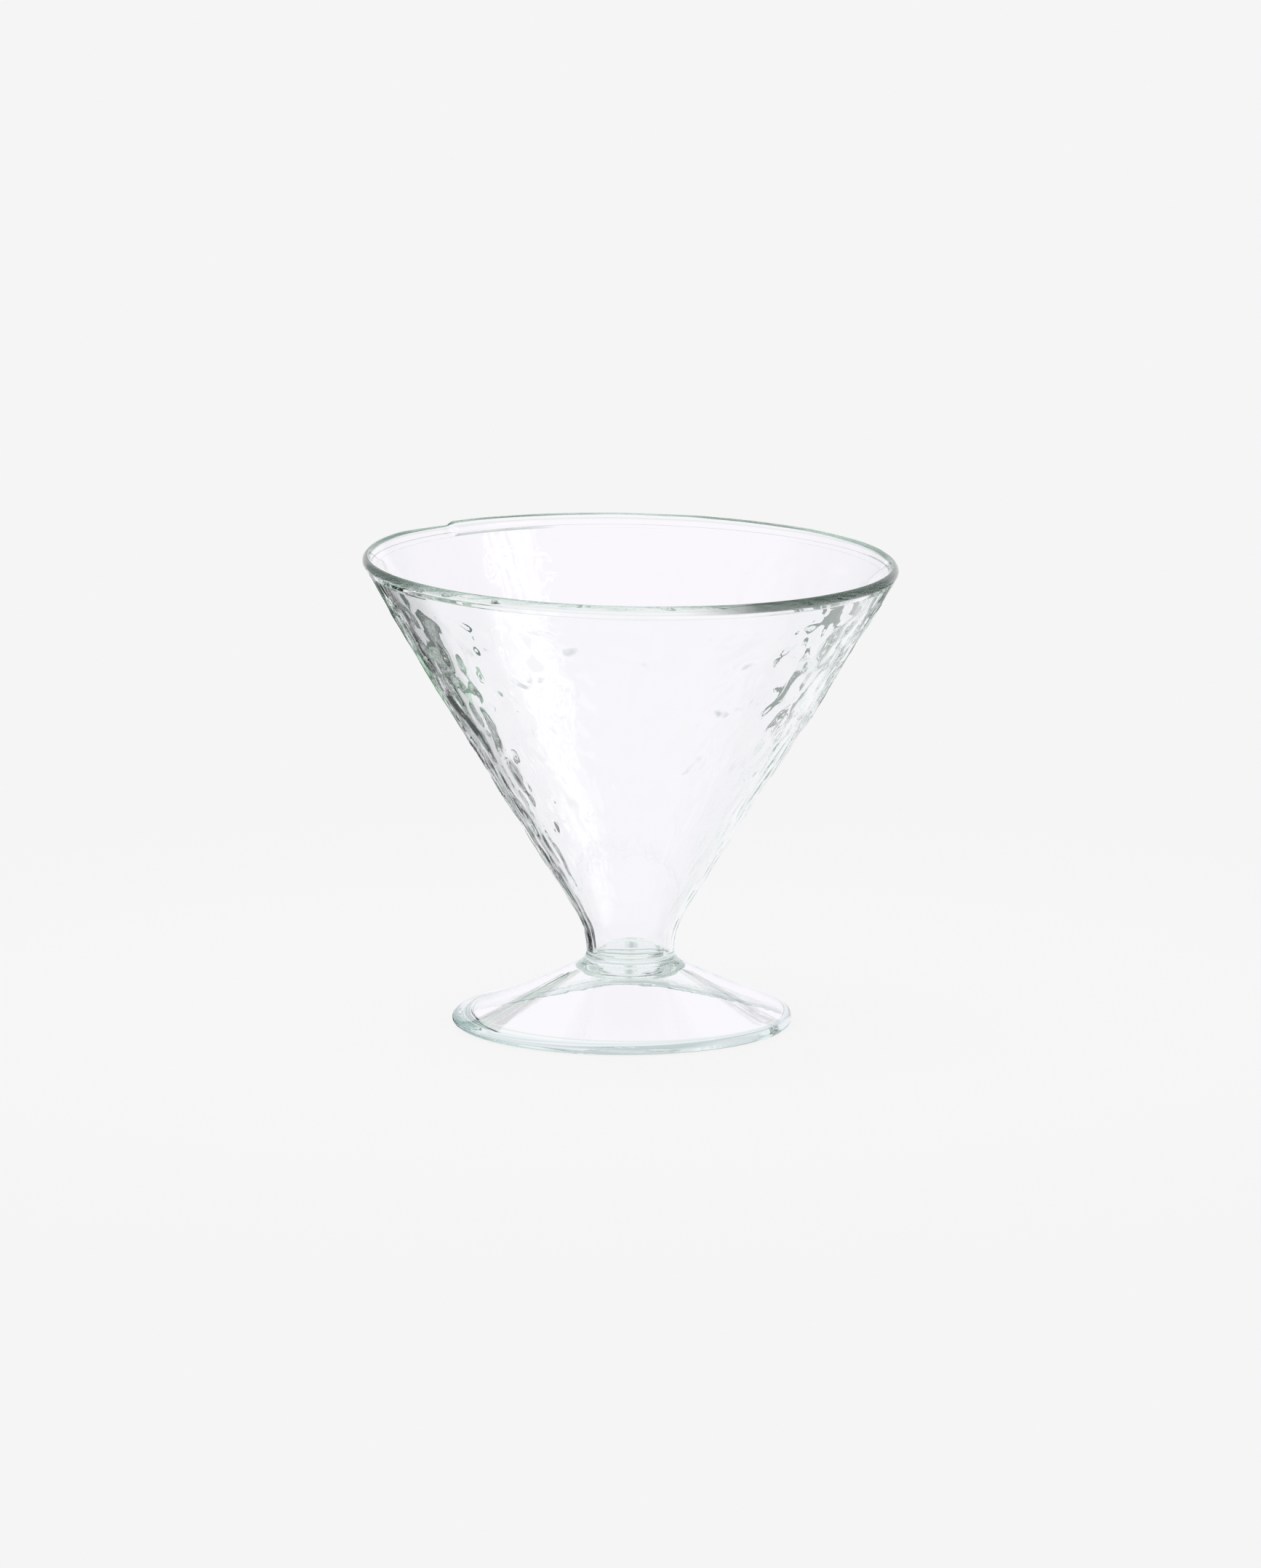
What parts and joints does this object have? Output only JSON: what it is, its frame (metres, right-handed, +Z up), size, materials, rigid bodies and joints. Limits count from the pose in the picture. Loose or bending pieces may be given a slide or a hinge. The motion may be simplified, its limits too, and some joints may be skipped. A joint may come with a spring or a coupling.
{
  "type": "cocktail glass",
  "caption": "Hand-blown cocktail glass with a dimpled cone bowl, a rounded lip wrap, a narrow waist with a domed floor and a hollow cone foot with a pontil wafer beneath.",
  "frame": {"origin": "on the table, under the centre of the lip", "axes": "+Z up through the bowl; +X towards the side where the lip is lowest, which is the right-hand side in the picture; the picture looks along +Y"},
  "size_m": [0.115, 0.115, 0.1025],
  "materials": {
    "bowl_glass": "fire-polished clear glass with a faint green tint, dimpled outside",
    "lip_glass": "fire-polished rounded thread of the same glass",
    "foot_glass": "fire-polished clear glass with faint turned tool lines",
    "wafer_glass": "fire-polished clear glass"
  },
  "bodies": {
    "root": {"bowl": "bowl_glass", "lip_wrap": "lip_glass", "foot": "foot_glass", "pontil_wafer": "wafer_glass"}
  },
  "joints": []
}
